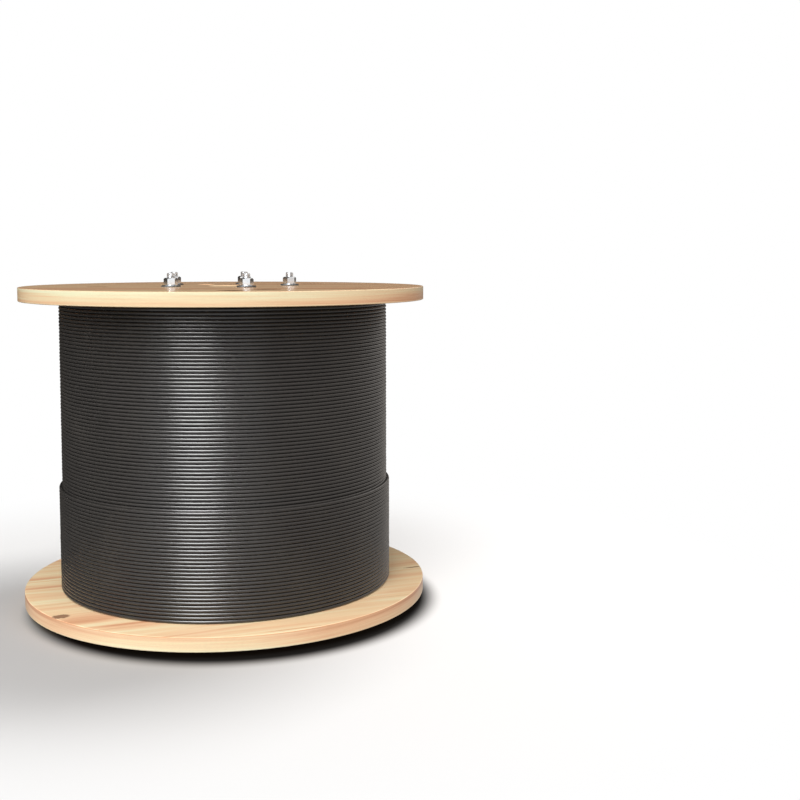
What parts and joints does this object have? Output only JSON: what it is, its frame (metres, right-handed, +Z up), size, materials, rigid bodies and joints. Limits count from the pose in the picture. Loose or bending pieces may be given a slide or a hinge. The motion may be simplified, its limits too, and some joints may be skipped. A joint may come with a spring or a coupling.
{
  "type": "wooden cable drum",
  "caption": "Wooden cable drum standing on end: two round pine flanges tied by bolts against a stave barrel, wound full of thin round black cable.",
  "frame": {"origin": "on the drum's axis, at the floor under the bolt heads that it stands on", "axes": "+Z up along the drum's axis, from the head side to the nut side; +X through the first tie bolt; -Y towards the viewer"},
  "size_m": [0.6, 0.6, 0.4953],
  "materials": {
    "flange": "planed pine, unfinished",
    "stave": "sawn pine, unfinished",
    "cable": "extruded plastic sheath, satin",
    "tie_bolt": "gloss black head, zinc-plated shank",
    "nut_and_washer": "bright zinc plating"
  },
  "bodies": {
    "root": {"flange_lower": "flange", "flange_upper": "flange", "cable_winding": "cable", "barrel_stave_1": "stave", "barrel_stave_2": "stave", "barrel_stave_3": "stave", "barrel_stave_4": "stave", "barrel_stave_5": "stave", "barrel_stave_6": "stave", "barrel_stave_7": "stave", "barrel_stave_8": "stave", "barrel_stave_9": "stave", "barrel_stave_10": "stave", "barrel_stave_11": "stave", "barrel_stave_12": "stave", "barrel_stave_13": "stave", "barrel_stave_14": "stave", "barrel_stave_15": "stave", "barrel_stave_16": "stave", "tie_bolt_1": "tie_bolt", "tie_bolt_2": "tie_bolt", "tie_bolt_3": "tie_bolt", "tie_bolt_4": "tie_bolt", "tie_bolt_5": "tie_bolt", "washer_1": "nut_and_washer", "washer_2": "nut_and_washer", "washer_3": "nut_and_washer", "washer_4": "nut_and_washer", "washer_5": "nut_and_washer", "nut_1": "nut_and_washer", "nut_2": "nut_and_washer", "nut_3": "nut_and_washer", "nut_4": "nut_and_washer", "nut_5": "nut_and_washer"}
  },
  "joints": []
}
